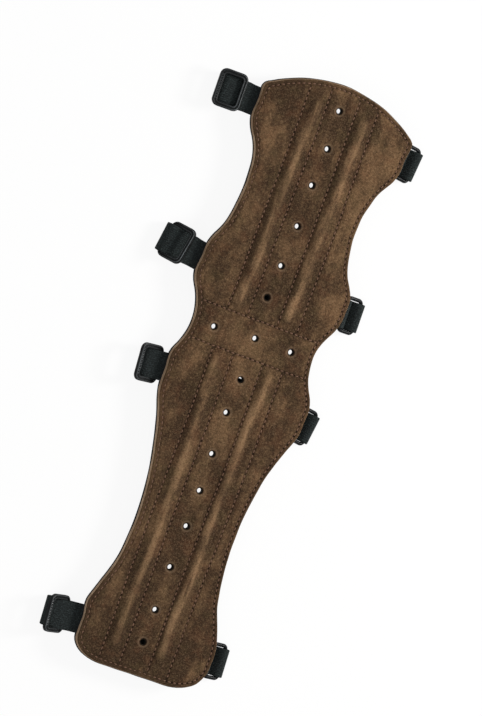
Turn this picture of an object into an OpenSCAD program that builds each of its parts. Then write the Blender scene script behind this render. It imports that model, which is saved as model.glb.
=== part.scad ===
// Full-length archery arm guard, lying on its straps with the suede side up.
// X runs across the guard, Y along it towards the shoulder, and Z up out of the suede.
// Lists of four go down the arm: shoulder, biceps, forearm and wrist strap.

/* [Panel] */
// Length from the wrist end to the elbow crease
forearm_len = 211; // [175:1:260]
// Length from the elbow crease to the shoulder end
upper_len = 159; // [132:1:200]
// Half the width of the panel at each strap
edge_half = [48.6, 47.2, 45.9, 42]; // [35:0.1:58]
// Length of straight edge to each side of each strap
edge_flat = [9.5, 11, 11.5, 9]; // [8:0.5:14]
// Depth of the curve in the edge between the wrist and forearm straps
forearm_waist = 13.2; // [6:0.2:16]
// Depth of the curve in the edge beside the elbow
elbow_waist = 8.3; // [4:0.1:10]
// Depth of the curve in the edge between the biceps and shoulder straps
upper_waist = 11.4; // [5:0.2:14]
// Rise of the rounded shoulder end
end_rise = 13.5; // [8:0.5:18]
// Width of the rounded corners at the wrist end
corner_w = 19.5; // [8:0.5:24]
// Width of the soft band across the elbow
elbow_band = 23; // [18:1:34]

/* [Layers] */
// Thickness of the suede face
face_t = 1.6; // [1:0.1:2.4]
// Thickness of the leather backing
backing_t = 1.6; // [1:0.1:2.4]
// Thickness of the lining
lining_t = 1.2; // [0.6:0.1:2]

/* [Stays and vents] */
// Distance of each stay from the middle of the guard
stay_x = 16.2; // [13:0.1:19]
// Width of a stay
stay_w = 6.5; // [4:0.1:8]
// Thickness of a stay
stay_t = 1; // [0.6:0.1:1.4]
// Width of the ridge that the suede makes over a stay
ridge_w = 9.8; // [8:0.1:12]
// Height of the ridge above the suede
ridge_h = 1.8; // [1.2:0.1:2.6]
// Distance from the end of a ridge to the end of its panel
ridge_end_gap = 12; // [8:1:24]
// Distance from the end of a ridge to the elbow band
ridge_band_gap = 4; // [2:0.5:10]
// Diameter of the vent holes
vent_d = 3.9; // [2.5:0.1:6]
// Distance of the outer elbow vents from the middle of the guard
elbow_vent_x = 25.2; // [16:0.1:29]

/* [Straps] */
// Width of the elastic straps
strap_w = 16; // [12:0.5:20]
// Thickness of the elastic
strap_t = 1.2; // [0.8:0.1:1.6]
// Distance of each straight edge's middle from its end of the panel or, for the middle two, the elbow crease
strap_in = [28, 34.5, 36.5, 21]; // [18:0.5:46]
// How far above that middle each strap crosses the left edge of the panel
left_rise = [2, 1.7, 2.6, -0.6]; // [-4:0.1:4]
// How far above that middle each strap crosses the right edge of the panel
right_rise = [-1.3, -1.6, -0.8, 3.5]; // [-4:0.1:4]
// Slant of each strap past the left edge, in degrees
left_slant = [-2.5, -7.5, 4.5, 4.3]; // [-9:0.1:9]
// Slant of each strap past the right edge, in degrees
right_slant = [-4.6, 1.4, -7.2, 3.5]; // [-9:0.1:9]
// Distance of each strap's left fold from the edge of the panel, or more where its buckle needs it
fold_reach = [23.9, 25.4, 13.9, 18.4]; // [12:0.1:32]
// Height of the lining above the surface that the straps lie on
rest_height = 9; // [7.5:0.1:12]
// Length of strap sewn to the lining at the left edge
seam_len = 12; // [8:0.5:16]

/* [Buckles] */
// Length of a buckle along the strap
buckle_l = 17.2; // [15:0.1:21]
// Width of a buckle's side rails
rail_w = 2; // [1.4:0.1:3]
// Width of a buckle's end bars and middle bar
bar_w = 2.5; // [1.8:0.1:3]
// Thickness of a buckle's frame
frame_t = 1.8; // [1.4:0.1:2.4]
// Thickness of a buckle's middle bar
middle_t = 1.6; // [1.2:0.1:2]
// Distance of each buckle's middle bar from the edge of the panel
buckle_reach = [17.1, 16.3, 8.7, 11.6]; // [7:0.1:22]
// Lean of each buckle as a share of the most it has room for, with its outer end up
buckle_lean = [0, -0.95, 0.73, 0.92]; // [-1:0.01:1]
// Turn of each buckle on its strap, in degrees
buckle_turn = [2.5, -5, 3, 3]; // [-6:0.5:6]

/* [Rings] */
// Length of a ring along the strap
ring_l = 13; // [11:0.1:17]
// Radius of the rod that a ring is bent from
rod_r = 1.2; // [0.9:0.05:1.5]
// Radius of a ring's corners, measured to the middle of the rod
ring_corner = 2.4; // [1.8:0.1:3.5]
// Distance of each ring's outer rod from the edge of the panel
ring_reach = [9.9, 10.8, 8.8, 12.6]; // [7:0.1:16]
// Length of each ring's tab sewn flat to the lining
tab_seam = 7; // [5:0.5:12]

/* [Fits] */
// Gap between a ring's rod and the elastic round it
loop_gap = 0.3; // [0.2:0.05:0.5]
// Gap between a buckle's bars and the strap through it
slide_gap = 0.25; // [0.15:0.05:0.5]
// Gap between a strap and the tab or buckle above it
pass_gap = 0.4; // [0.3:0.05:0.8]
// Play of a strap between the sides of its buckle or ring
side_play = 1; // [0.8:0.05:1.4]
// Gap round a stay in its pocket
stay_gap = 0.3; // [0.2:0.05:0.5]

/* [Hidden] */
$fn = 64;

SHOULDER = 0;
BICEPS = 1;
FOREARM = 2;
WRIST = 3;
LEFT = -1;
RIGHT = 1;
EVERY_STRAP = [SHOULDER, BICEPS, FOREARM, WRIST];

SUEDE = "#7a5f46";
LEATHER = "#a5835f";
CLOTH = "#26262a";
STEEL = "#b9bcc0";
ELASTIC = "#3a3f40";
PLASTIC = "#4a4e50";
BLACK_METAL = "#55595c";

// Lengths along the guard, from the wrist end
total_len = forearm_len + upper_len;
band_low = forearm_len - elbow_band / 2;
band_high = forearm_len + elbow_band / 2;
strap_y = [
    total_len - strap_in[SHOULDER],
    forearm_len + strap_in[BICEPS],
    forearm_len - strap_in[FOREARM],
    strap_in[WRIST]
];

function edge_y(k, side) = strap_y[k] + (side == LEFT ? left_rise[k] : right_rise[k]);
function edge_slant(k, side) = side == LEFT ? left_slant[k] : right_slant[k];

// A strap's middle is stretched a little narrower than its ends, and laps over them
middle_half = strap_w / 2 - 0.2;
lap = 1;
function middle_corner(k, side, across) =
    let (along = -side * (seam_len - lap), a = edge_slant(k, side))
    [
        side * edge_half[k] + along * cos(a) - across * sin(a),
        edge_y(k, side) + along * sin(a) + across * cos(a)
    ];

// Heights. A strap runs under the ring tabs, and the lining lies on both
loop_in = rod_r + loop_gap;
loop_out = loop_in + strap_t;
lift = max(rest_height, strap_t + pass_gap + 2 * loop_out);
backing_z = lift + lining_t;
face_z = backing_z + backing_t;
top_z = face_z + face_t;
strap_mid = lift - strap_t / 2;
fold_r = lift / 2;

// Widths across a strap
window_w = strap_w + 2 * side_play;
buckle_w = window_w + 2 * rail_w;
ring_w = window_w + 4 * rod_r;
frame_corner = 4;

// A ring slopes from its tab down to its strap. Lengths past an edge of the panel run along the strap
ring_span = ring_l - 2 * rod_r;
ring_pitch = asin((lift - 2 * loop_out) / ring_span);
function inner_rod(k) = ring_reach[k] - ring_span * cos(ring_pitch);

// The steepest lean at which a buckle clears the strap below it
lean_arm = buckle_l / 2 + bar_w / 2;
lean_drop = slide_gap + strap_t;
lean_room = lift - 2 * strap_t - pass_gap;
lean_max = atan(lean_drop / lean_arm) + asin(lean_room / norm([lean_arm, lean_drop]));
function lean(k) = buckle_lean[k] * lean_max;

// Height of the strap's middle over the frame's, where the strap lies on the middle bar
middle_top = -frame_t / 2 - strap_t - 2 * slide_gap;
function seat(k) = middle_top + slide_gap + strap_t / (2 * cos(lean(k))) + bar_w / 2 * tan(abs(lean(k)));

// The fold stays clear of the bar inside it: the outer bar where that end leans down, or the middle bar
function fold_at(k) =
    let (
        leans_down = lean(k) < 0,
        bar_out = leans_down ? (buckle_l - frame_t) / 2 : (bar_w - middle_t) / 2,
        bar_up = (leans_down ? 0 : middle_top - middle_t / 2) - seat(k),
        bar_r = leans_down ? frame_t / sqrt(2) : middle_t / 2,
        out = bar_out * cos(lean(k)) - bar_up * sin(lean(k)) + strap_w / 2 * sin(abs(buckle_turn[k])),
        up = bar_out * sin(lean(k)) + bar_up * cos(lean(k)) + strap_mid - fold_r,
        room = fold_r - strap_t - slide_gap - bar_r
    )
    max(fold_reach[k], fold_r + buckle_reach[k] + out - sqrt(max(0, pow(room, 2) - pow(up, 2))));

// The guard is centred on its outermost points
function fold_out(k) = edge_half[k] + fold_at(k) * cos(left_slant[k]) + strap_w / 2 * sin(abs(left_slant[k]));
function buckle_out(k) =
    let (
        turned = left_slant[k] + buckle_turn[k],
        along = cos(lean(k)) * cos(turned),
        across = sin(abs(turned)),
        frame = (buckle_l / 2 - frame_corner) * along + (buckle_w / 2 - frame_corner) * across
            + frame_corner * norm([along, across]),
        offset = seat(k) * sin(lean(k)) + frame_t / 2 * sin(abs(lean(k)))
    )
    edge_half[k] + buckle_reach[k] * cos(left_slant[k]) + offset * cos(turned) + frame;
function loop_out_x(k) = edge_half[k] + (ring_reach[k] + loop_out) * cos(right_slant[k])
    + strap_w / 2 * sin(abs(right_slant[k]));
guard_left = max([for (k = EVERY_STRAP) max(fold_out(k), buckle_out(k))]);
guard_right = max([for (k = EVERY_STRAP) loop_out_x(k)]);
guard_x = (guard_left - guard_right) / 2;

// Points on the arc from p to q, bowed to the left of the way from p to q where bow is positive
function arc(p, q, bow, steps) =
    let (
        chord = q - p,
        along = chord / norm(chord),
        left = [-along[1], along[0]] * sign(bow),
        r = pow(norm(chord), 2) / (8 * abs(bow)) + abs(bow) / 2,
        half = asin(norm(chord) / (2 * r)),
        centre = (p + q) / 2 - left * (r - abs(bow))
    )
    [
        for (i = [1 : steps])
            let (a = half * (2 * i / steps - 1))
            centre + r * (along * sin(a) + left * cos(a))
    ];

// The two ends of the straight edge beside a strap, on the right of the panel
function flat_low(k) = [edge_half[k], strap_y[k] - edge_flat[k]];
function flat_high(k) = [edge_half[k], strap_y[k] + edge_flat[k]];

// The shoulder end is one arc between two small rounded corners
corner_in = 3;
corner_rise = 5;
corner_bow = 1;
end_corner = [edge_half[SHOULDER] - corner_in, total_len - end_rise];
side_top = [edge_half[SHOULDER], end_corner[1] - corner_rise];
corner_steps = 10;
wrist_corner = [
    for (i = [0 : corner_steps])
        let (a = 90 * i / corner_steps - 90)
        [edge_half[WRIST] - corner_w + corner_w * cos(a), flat_low(WRIST)[1] * (1 + sin(a))]
];
right_side = concat(
    wrist_corner,
    [flat_high(WRIST)],
    arc(flat_high(WRIST), flat_low(FOREARM), forearm_waist, 32),
    [flat_high(FOREARM)],
    arc(flat_high(FOREARM), flat_low(BICEPS), elbow_waist, 18),
    [flat_high(BICEPS)],
    arc(flat_high(BICEPS), flat_low(SHOULDER), upper_waist, 24),
    [side_top],
    arc(side_top, end_corner, -corner_bow, 6)
);
left_side = [for (i = [len(right_side) - 1 : -1 : 0]) [-right_side[i][0], right_side[i][1]]];
shoulder_end = arc(end_corner, [-end_corner[0], end_corner[1]], -end_rise, 28);
outline = concat(right_side, shoulder_end, left_side);

// Vent rows down the middle, evenly spaced apart from how far each hand-punched hole strays
forearm_vent_stray = [0, -3, 0, 2.3, 1, 0.5, 2.7, 0];
upper_vent_stray = [0, -3, -1.5, 0.5, 0, 0];
vent_end_gap = 14.5;
vent_wrist_gap = 20;
vent_elbow_gap = 25.5;
function vent_row(first, last, stray) =
    [for (i = [0 : len(stray) - 1]) [0, first + (last - first) * i / (len(stray) - 1) + stray[i]]];
forearm_vents = vent_row(vent_wrist_gap, forearm_len - vent_elbow_gap, forearm_vent_stray);
upper_vents = vent_row(forearm_len + vent_elbow_gap, total_len - vent_end_gap, upper_vent_stray);
elbow_vent_stray = -1.5;
elbow_vents = [
    [-elbow_vent_x + elbow_vent_stray, forearm_len],
    [0, forearm_len],
    [elbow_vent_x + elbow_vent_stray, forearm_len]
];

// Ends of the ridges
forearm_ridge = [ridge_end_gap, band_low - ridge_band_gap];
upper_ridge = [band_high + ridge_band_gap, total_len - ridge_end_gap - corner_rise];

module on_guard() {
    translate([guard_x, -total_len / 2, 0]) children();
}

// Where a strap crosses an edge of the panel: X along the strap to the right, Y across it
module on_edge(k, side) {
    on_guard() translate([side * edge_half[k], edge_y(k, side), 0]) rotate([0, 0, edge_slant(k, side)])
        children();
}

// One layer of the panel between two lengths, with its vents
module sheet(from_y, to_y, bottom, thickness, vents) {
    difference() {
        translate([0, 0, bottom]) linear_extrude(thickness) intersection() {
            polygon(outline);
            translate([-total_len, from_y]) square([2 * total_len, to_y - from_y]);
        }
        for (vent = vents)
            translate([vent[0], vent[1], bottom - 1]) cylinder(d = vent_d, h = thickness + 2);
    }
}

// Rounded ridge, a low slice of a round-ended rod
module ridge(side, ends) {
    r = (pow(ridge_w / 2, 2) + pow(ridge_h, 2)) / (2 * ridge_h);
    root = face_t / 3;
    first = ends[0] + ridge_w / 2;
    last = ends[1] - ridge_w / 2;
    intersection() {
        translate([side * stay_x, 0, top_z + ridge_h - r]) {
            translate([0, first, 0]) rotate([-90, 0, 0]) cylinder(r = r, h = last - first);
            translate([0, first, 0]) sphere(r = r);
            translate([0, last, 0]) sphere(r = r);
        }
        translate([side * stay_x - ridge_w, ends[0] - ridge_w, top_z - root])
            cube([2 * ridge_w, ends[1] - ends[0] + 2 * ridge_w, ridge_h + 2 * root]);
    }
}

// Flat bar with round ends, for a stay and for its pocket
module round_strip(side, ends, grow, thickness) {
    half = stay_w / 2 + grow;
    inset = ridge_w / 2;
    translate([side * stay_x, 0, face_z]) linear_extrude(thickness) {
        translate([-half, ends[0] + inset]) square([2 * half, ends[1] - ends[0] - 2 * inset]);
        for (y = [ends[0] + inset, ends[1] - inset])
            translate([0, y]) circle(r = half);
    }
}

module face(from_y, to_y, vents, ends) {
    color(SUEDE) on_guard() difference() {
        union() {
            sheet(from_y, to_y, face_z, face_t, vents);
            for (side = [LEFT, RIGHT])
                ridge(side, ends);
        }
        for (side = [LEFT, RIGHT])
            translate([0, 0, -1]) round_strip(side, ends, stay_gap, stay_t + stay_gap + 1);
    }
}

module face_forearm() {
    face(0, band_low, forearm_vents, forearm_ridge);
}

module face_upper() {
    face(band_high, total_len, upper_vents, upper_ridge);
}

module face_elbow() {
    color(SUEDE) on_guard() sheet(band_low, band_high, face_z, face_t, elbow_vents);
}

module backing_forearm() {
    color(LEATHER) on_guard() sheet(0, band_low, backing_z, backing_t, forearm_vents);
}

module backing_elbow() {
    color(LEATHER) on_guard() sheet(band_low, band_high, backing_z, backing_t, elbow_vents);
}

module backing_upper() {
    color(LEATHER) on_guard() sheet(band_high, total_len, backing_z, backing_t, upper_vents);
}

module lining_forearm() {
    color(CLOTH) on_guard() sheet(0, band_low, lift, lining_t, forearm_vents);
}

module lining_elbow() {
    color(CLOTH) on_guard() sheet(band_low, band_high, lift, lining_t, elbow_vents);
}

module lining_upper() {
    color(CLOTH) on_guard() sheet(band_high, total_len, lift, lining_t, upper_vents);
}

module stay(side, ends) {
    color(STEEL) on_guard() round_strip(side, ends, 0, stay_t);
}

// Side view of elastic bent half round a rod, open to the left
module half_loop(inner, outer) {
    intersection() {
        difference() {
            circle(r = outer);
            circle(r = inner);
        }
        translate([0, -outer]) square([outer, 2 * outer]);
    }
}

// Side view of elastic looped round a rod: one ply lies below, and the other comes down from the top
// and is sewn to it
module sewn_loop(ply, slope_end, seam_end) {
    slope_start = rod_r;
    sewn_top = strap_t - loop_in;
    translate([-ply, -loop_out]) square([ply, strap_t]);
    half_loop(loop_in, loop_out);
    polygon([
        [0, loop_in], [0, loop_out], [-slope_start, loop_out],
        [-slope_end, sewn_top], [-seam_end, sewn_top],
        [-seam_end, -loop_in], [-slope_end, -loop_in], [-slope_start, loop_in]
    ]);
}

// A strap's left end in side view: sewn under the edge and folded back under itself
module folded_end(k) {
    turn = fold_r - fold_at(k);
    translate([turn, lift - strap_t]) square([seam_len - turn, strap_t]);
    translate([turn, fold_r]) mirror([1, 0]) half_loop(fold_r - strap_t, fold_r);
    translate([turn, 0]) square([seam_len - turn, strap_t]);
}

// A strap's right end in side view: looped round its ring's outer rod
module looped_end(k) {
    slope_end = 2 * loop_out - pass_gap;
    translate([ring_reach[k], loop_out]) sewn_loop(ring_reach[k] + seam_len, slope_end, slope_end + strap_t);
}

// Elastic cut to the strap's width from its side view
module elastic(k, side) {
    color(ELASTIC) on_edge(k, side) rotate([90, 0, 0]) linear_extrude(strap_w, center = true) children();
}

module strap(k) {
    elastic(k, LEFT) folded_end(k);
    color(ELASTIC) on_guard() linear_extrude(strap_t) polygon([
        middle_corner(k, LEFT, -middle_half), middle_corner(k, RIGHT, -middle_half),
        middle_corner(k, RIGHT, middle_half), middle_corner(k, LEFT, middle_half)
    ]);
    elastic(k, RIGHT) looped_end(k);
}

// A ring's tab in side view: both plies sewn to the lining, and a loop round the ring's inner rod
module tab_side(k) {
    slope_end = 2 * loop_out;
    seam_end = slope_end + tab_seam;
    translate([inner_rod(k), lift - loop_out]) mirror([0, 1]) sewn_loop(seam_end, slope_end, seam_end);
}

module ring_tab(k) {
    elastic(k, RIGHT) tab_side(k);
}

// Plate with round corners, centred on the buckle
module rounded_plate(length, width, corner) {
    square([length - 2 * corner, width], center = true);
    square([length, width - 2 * corner], center = true);
    for (x = [LEFT, RIGHT], y = [LEFT, RIGHT])
        translate([x * (length / 2 - corner), y * (width / 2 - corner)]) circle(r = corner);
}

module frame_plate(inset, thickness) {
    window_corner = 1.5;
    window_l = buckle_l - 2 * bar_w;
    linear_extrude(thickness) difference() {
        rounded_plate(buckle_l - 2 * inset, buckle_w - 2 * inset, frame_corner - inset);
        rounded_plate(window_l + 2 * inset, window_w + 2 * inset, window_corner + inset);
    }
}

// The end bars have a raised middle, and the middle bar hangs below them on two feet
module buckle_frame() {
    step_in = 0.5;
    step_t = frame_t / 3;
    foot_top = 2 * bar_w;
    middle_r = middle_t / 2;
    middle_z = middle_top - middle_r;
    translate([0, 0, -frame_t / 2]) frame_plate(0, frame_t - step_t);
    translate([0, 0, frame_t / 2 - step_t]) frame_plate(step_in, step_t);
    rotate([90, 0, 0]) linear_extrude(buckle_w - 2 * step_in, center = true) {
        translate([0, middle_z]) square([bar_w - middle_t, middle_t], center = true);
        for (x = [LEFT, RIGHT])
            translate([x * (bar_w - middle_t) / 2, middle_z]) circle(r = middle_r);
    }
    for (side = [LEFT, RIGHT])
        translate([0, side * (window_w / 2 + rail_w / 2), 0]) rotate([90, 0, 0])
            linear_extrude(rail_w - 2 * step_in, center = true) polygon([
                [-bar_w / 2, middle_z], [bar_w / 2, middle_z],
                [foot_top / 2, -frame_t / 4], [-foot_top / 2, -frame_t / 4]
            ]);
}

module buckle(k) {
    color(PLASTIC) on_edge(k, LEFT) translate([-buckle_reach[k], 0, strap_mid]) rotate([0, 0, buckle_turn[k]])
        rotate([0, lean(k), 0]) translate([0, 0, -seat(k)]) buckle_frame();
}

// Where each corner's quarter turn starts
function corner_turn(end, side) = end == RIGHT ? (side == RIGHT ? 0 : 270) : (side == RIGHT ? 90 : 180);

// Rod bent to a rectangle, from the middle of its inner rod outwards
module rod_ring() {
    half_span = ring_span / 2;
    half_w = ring_w / 2 - rod_r;
    for (end = [LEFT, RIGHT]) {
        translate([half_span + end * half_span, 0, 0]) rotate([90, 0, 0])
            cylinder(r = rod_r, h = 2 * (half_w - ring_corner), center = true);
        translate([half_span, end * half_w, 0]) rotate([0, 90, 0])
            cylinder(r = rod_r, h = ring_span - 2 * ring_corner, center = true);
        for (side = [LEFT, RIGHT])
            translate([half_span + end * (half_span - ring_corner), side * (half_w - ring_corner), 0])
                rotate([0, 0, corner_turn(end, side)])
                    rotate_extrude(angle = 90) translate([ring_corner, 0]) circle(r = rod_r);
    }
}

module ring(k) {
    color(BLACK_METAL) on_edge(k, RIGHT) translate([inner_rod(k), 0, lift - loop_out])
        rotate([0, ring_pitch, 0]) rod_ring();
}

face_forearm();
face_elbow();
face_upper();
backing_forearm();
backing_elbow();
backing_upper();
lining_forearm();
lining_elbow();
lining_upper();
stay(LEFT, forearm_ridge);  // stay_forearm_left
stay(RIGHT, forearm_ridge);  // stay_forearm_right
stay(LEFT, upper_ridge);  // stay_upper_left
stay(RIGHT, upper_ridge);  // stay_upper_right
strap(SHOULDER);  // strap_shoulder
strap(BICEPS);  // strap_biceps
strap(FOREARM);  // strap_forearm
strap(WRIST);  // strap_wrist
buckle(SHOULDER);  // buckle_shoulder
buckle(BICEPS);  // buckle_biceps
buckle(FOREARM);  // buckle_forearm
buckle(WRIST);  // buckle_wrist
ring(SHOULDER);  // ring_shoulder
ring(BICEPS);  // ring_biceps
ring(FOREARM);  // ring_forearm
ring(WRIST);  // ring_wrist
ring_tab(SHOULDER);  // ring_tab_shoulder
ring_tab(BICEPS);  // ring_tab_biceps
ring_tab(FOREARM);  // ring_tab_forearm
ring_tab(WRIST);  // ring_tab_wrist
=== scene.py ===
from math import asin, atan2, cos, exp, hypot, pi, radians, sin, sqrt, tan

import bmesh
import bpy
from bmesh.types import BMEdge, BMVert
from mathutils import Matrix, Vector, kdtree, noise


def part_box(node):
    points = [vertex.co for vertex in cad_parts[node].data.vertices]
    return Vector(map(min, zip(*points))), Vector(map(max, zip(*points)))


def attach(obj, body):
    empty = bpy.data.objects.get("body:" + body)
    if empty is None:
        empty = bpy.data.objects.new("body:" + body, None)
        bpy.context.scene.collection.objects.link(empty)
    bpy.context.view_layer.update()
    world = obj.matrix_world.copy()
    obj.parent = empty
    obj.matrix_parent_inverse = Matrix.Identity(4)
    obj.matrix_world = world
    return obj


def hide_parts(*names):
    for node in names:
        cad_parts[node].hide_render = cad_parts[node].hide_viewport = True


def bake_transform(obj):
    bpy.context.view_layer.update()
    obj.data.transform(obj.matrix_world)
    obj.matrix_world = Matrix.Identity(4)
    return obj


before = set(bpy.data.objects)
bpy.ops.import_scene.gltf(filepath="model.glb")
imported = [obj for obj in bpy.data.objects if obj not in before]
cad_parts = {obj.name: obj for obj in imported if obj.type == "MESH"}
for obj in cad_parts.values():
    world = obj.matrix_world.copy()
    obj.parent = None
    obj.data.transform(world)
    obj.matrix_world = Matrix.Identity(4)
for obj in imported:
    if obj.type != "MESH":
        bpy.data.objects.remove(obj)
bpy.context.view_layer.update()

# Measures

# Lengths are in millimetres on the flat guard: x across it from its middle, y along it from the wrist end.
MM = 0.001
GUARD_LONG = 370
elbow_low, elbow_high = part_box("lining_elbow")
GUARD_MIDDLE = (elbow_low.x + elbow_high.x) / 2
TO_FRAME = Matrix.Translation((GUARD_MIDDLE, -GUARD_LONG / 2 * MM, 0)) @ Matrix.Scale(MM, 4)

LINING_LOW = 9
BACKING_LOW = 10.2
SUEDE_LOW = 11.8
SUEDE_TOP = 13.4
LAYER_GAP = 0.02

EDGE_HALF = (48.6, 47.2, 45.9, 42)
# Each side goes up through these points, and bows inwards by the third number up to the next one
SIDE_POINTS = [
    (42, 12, 0), (42, 30, 13.2), (45.9, 163, 0), (45.9, 186, 8.3), (47.2, 234.5, 0),
    (47.2, 256.5, 11.4), (48.6, 332.5, 0), (48.6, 351.5, -1), (45.6, 356.5, 0),
]
EASED_FROM, EASED_TO = 14, 349
# How far the cut strays outside the pattern on each side, at points up the guard
LEFT_CUT = [
    (0, -2.4), (22, -2.4), (35, 0.2), (46, 0), (60, -1.3), (84, -1), (108, -0.5), (130, -0.3), (154, -1.1),
    (176, -0.9), (191, 1.2), (214, 1.2), (232, 2), (250, 0.5), (268, 0.5), (284, 1.5), (299, 1.4),
    (312, 0.6), (332, 1.3), (346, 0.3), (358, 0.5),
]
RIGHT_CUT = [
    (0, -0.3), (8, 0.5), (17, 2.6), (38, 2.8), (58, 0.9), (94, 0.6), (118, 0.3), (137, -0.4), (154, -0.3),
    (172, 0.7), (187, 1.3), (202, 0.1), (218, -0.8), (235, -0.2), (252, -0.1), (266, -2), (284, -1.2),
    (300, -0.7), (312, -0.1), (326, 1), (340, 0.1), (352, 1.4), (358, -0.8),
]
WRIST_CORNER_WIDE = 19.5
WRIST_CORNER_TALL = 12
SHOULDER_CORNER = 45.6
SHOULDER_RISE = 13.5
SHOULDER_RADIUS = (SHOULDER_CORNER ** 2 + SHOULDER_RISE ** 2) / (2 * SHOULDER_RISE)
SHOULDER_BEND, SHOULDER_ROW = 351.5, 356.5

# The vents were punched by hand, a little off their line
VENTS = [
    (0, 20), (0.3, 40.4), (-0.3, 67.2), (0.35, 93.2), (0.5, 115.7), (-0.25, 138.7), (-0.85, 164.6),
    (0.3, 185.7), (-2, 236.9), (-0.5, 257.4), (0.45, 282.7), (0.05, 308.4), (1.2, 331.8), (-0.1, 355.2),
    (-26.4, 209.9), (0, 211.7), (23.8, 211.3),
]
VENT_RADIUS = 1.95
VENT_LOW_RADIUS = 1.5

RIDGE_HIGH = 1.8
# Where the ridges start and end, and how long each end takes to rise or fall
RIDGE_ENDS = ((8, 197, 9, 4), (225, 360, 4, 7))
CRESTS = {
    -1: ((8, -17.2), (50, -17.2), (72, -15.8), (130, -16.6), (160, -18), (180, -19.2), (228, -19),
         (258, -16.7), (330, -16.6), (352, -14.6)),
    1: ((8, 13), (40, 12.2), (62, 13.6), (90, 13), (165, 13), (182, 15), (200, 15), (228, 13.2),
        (250, 14.2), (285, 14.9), (320, 15.4), (352, 16.2)),
}
RIDGE_HALF = {-1: 5.4, 1: 5}
# Where handling turned the nap: place, half width, half length, and darker (minus) or lighter
NAP_MARKS = [
    (-3, 352, 17, 11, -0.12), (-6, 320, 11, 13, -0.18), (29, 350, 11, 13, -0.15), (19, 302, 7, 13, 0.09),
    (26, 262, 8, 17, -0.12), (29, 231, 8, 10, -0.12), (40, 242, 6, 10, 0.15), (-28, 262, 9, 13, -0.08),
    (-33, 216, 15, 20, -0.09), (-34, 170, 7, 17, -0.13), (2, 184, 13, 12, 0.08), (36, 176, 9, 13, 0.16),
    (1, 125, 7, 16, 0.08), (23, 98, 8, 15, -0.11), (-14, 64, 9, 13, -0.12), (-5, 45, 9, 20, -0.1),
    (-33, 50, 8, 13, 0.09), (30, 50, 8, 14, 0.09), (17, 193, 10, 12, 0.1), (-18, 178, 7, 11, 0.09),
    (38, 27, 9, 12, 0.07), (0, 14, 14, 8, -0.05), (15, 58, 6, 8, -0.07), (22, 311, 6, 7, 0.07),
]
SEAM_INSET = 2.4
SEAM_STEPS = 8
STITCH_PITCH = 3.2
STITCH_LONG, STITCH_WIDE = STITCH_PITCH * 0.66, 0.8
CROSS_SEAMS = (199.3, 222.4)
# How far a lengthwise or a cross row stops short of a seam
ROW_GAP, CROSS_GAP = 1.6, 0.6

# One number for each strap, in the order of these names
STRAP_NAMES = ("shoulder", "biceps", "forearm", "wrist")
PANELS = ("upper_arm_panel", "upper_arm_panel", "forearm_panel", "forearm_panel")
STRAP_ROWS = (342, 245.5, 174.5, 21)
LEFT_RISE = (1.2, 0.6, 2.7, -0.9)
RIGHT_RISE = (-0.1, -1.3, -1.5, 1)
LEFT_SLANT = (-1.2, -7.5, 4.5, 4.3)
RIGHT_SLANT = (-4.6, 1.4, -7.2, 3.5)
FOLD_REACH = (24.8, 26.9, 14.2, 20.1)
BUCKLE_REACH = (18.4, 17.3, 9.9, 13.4)
BUCKLE_LEAN = (0, -44.55, 28.5, 37)
BUCKLE_TURN = (2.5, -3, 0.5, 1)
RING_REACH = (9.9, 10.8, 8.8, 11.7)
TAB_WIDE = (17.7, 17.6, 17.7, 17.4)
TAB_NUDGE = (0.05, -0.15, 0.05, -0.25)

FOLD_WIDE = 17.6
STRAP_WIDE = 17
STRAP_THICK = 1.2
HALF_THICK = STRAP_THICK / 2
UNDER_EDGE = LINING_LOW - HALF_THICK - 0.05
SEAM_LONG = 12
TAB_SEAM_LONG = 7
FOLD_RADIUS = LINING_LOW / 2
ROD_RADIUS = 1.2
LOOP_OUT = 2.7
TAB_LOOP_OUT = 2.95
RING_SPAN = 10.6
RING_PITCH = asin((LINING_LOW - 2 * LOOP_OUT) / RING_SPAN)
RING_WIDE = 22.8
RING_CORNER = 2.4

BUCKLE_LONG, BUCKLE_WIDE, BUCKLE_THICK = 17.6, 23, 1.8
BUCKLE_BAR = 3
BUCKLE_CORNER, WINDOW_CORNER = 4, 1.5
LOW_BAR_WIDE, LOW_BAR_THICK, LOW_BAR_LONG = 2.5, 1.6, 21
LOW_BAR_TOP = -BUCKLE_THICK / 2 - STRAP_THICK - 0.5
LOW_BAR_MIDDLE = LOW_BAR_TOP - LOW_BAR_THICK / 2
CHEEK_OUT, CHEEK_THICK = 10, 1.2
SEAT_PLAY = 0.25
RIB_COUNT, RIB_PITCH, RIB_TURN = 10, 1.6, 34
RIB_SIZE = (2.4, 0.75, 0.7)

WHITE = (1, 1, 1, 1)
# The camera leans to the left, and sees the guard turned
VIEW_TILT = 17
VIEW_ALONG, VIEW_ACROSS = 0.9378, 0.3473
VIEW_FAR = 2.2
VIEW_MIDDLE_X, VIEW_MIDDLE_Y = 4.2, 197.9
PICTURE_TALL, PIXELS_TO_METRE = 716, 1688.4
SENSOR = 36


# Small helpers
def new_object(name, data):
    thing = bpy.data.objects.new(name, data)
    bpy.context.scene.collection.objects.link(thing)
    return thing


def mesh_of(name, bm):
    mesh = bpy.data.meshes.new(name)
    bm.to_mesh(mesh)
    bm.free()
    return mesh


def add_shape(whole, part):
    mesh = mesh_of("part", part)
    whole.from_mesh(mesh)
    bpy.data.meshes.remove(mesh)


def only(kind, made):
    return [g for g in made if isinstance(g, kind)]


def raised_copy(bm):
    """Grows walls from a flat shape to a copy of it, and gives the copy's vertices."""
    return only(BMVert, bmesh.ops.extrude_face_region(bm, geom=bm.faces[:], use_keep_orig=True)["geom"])


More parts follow.
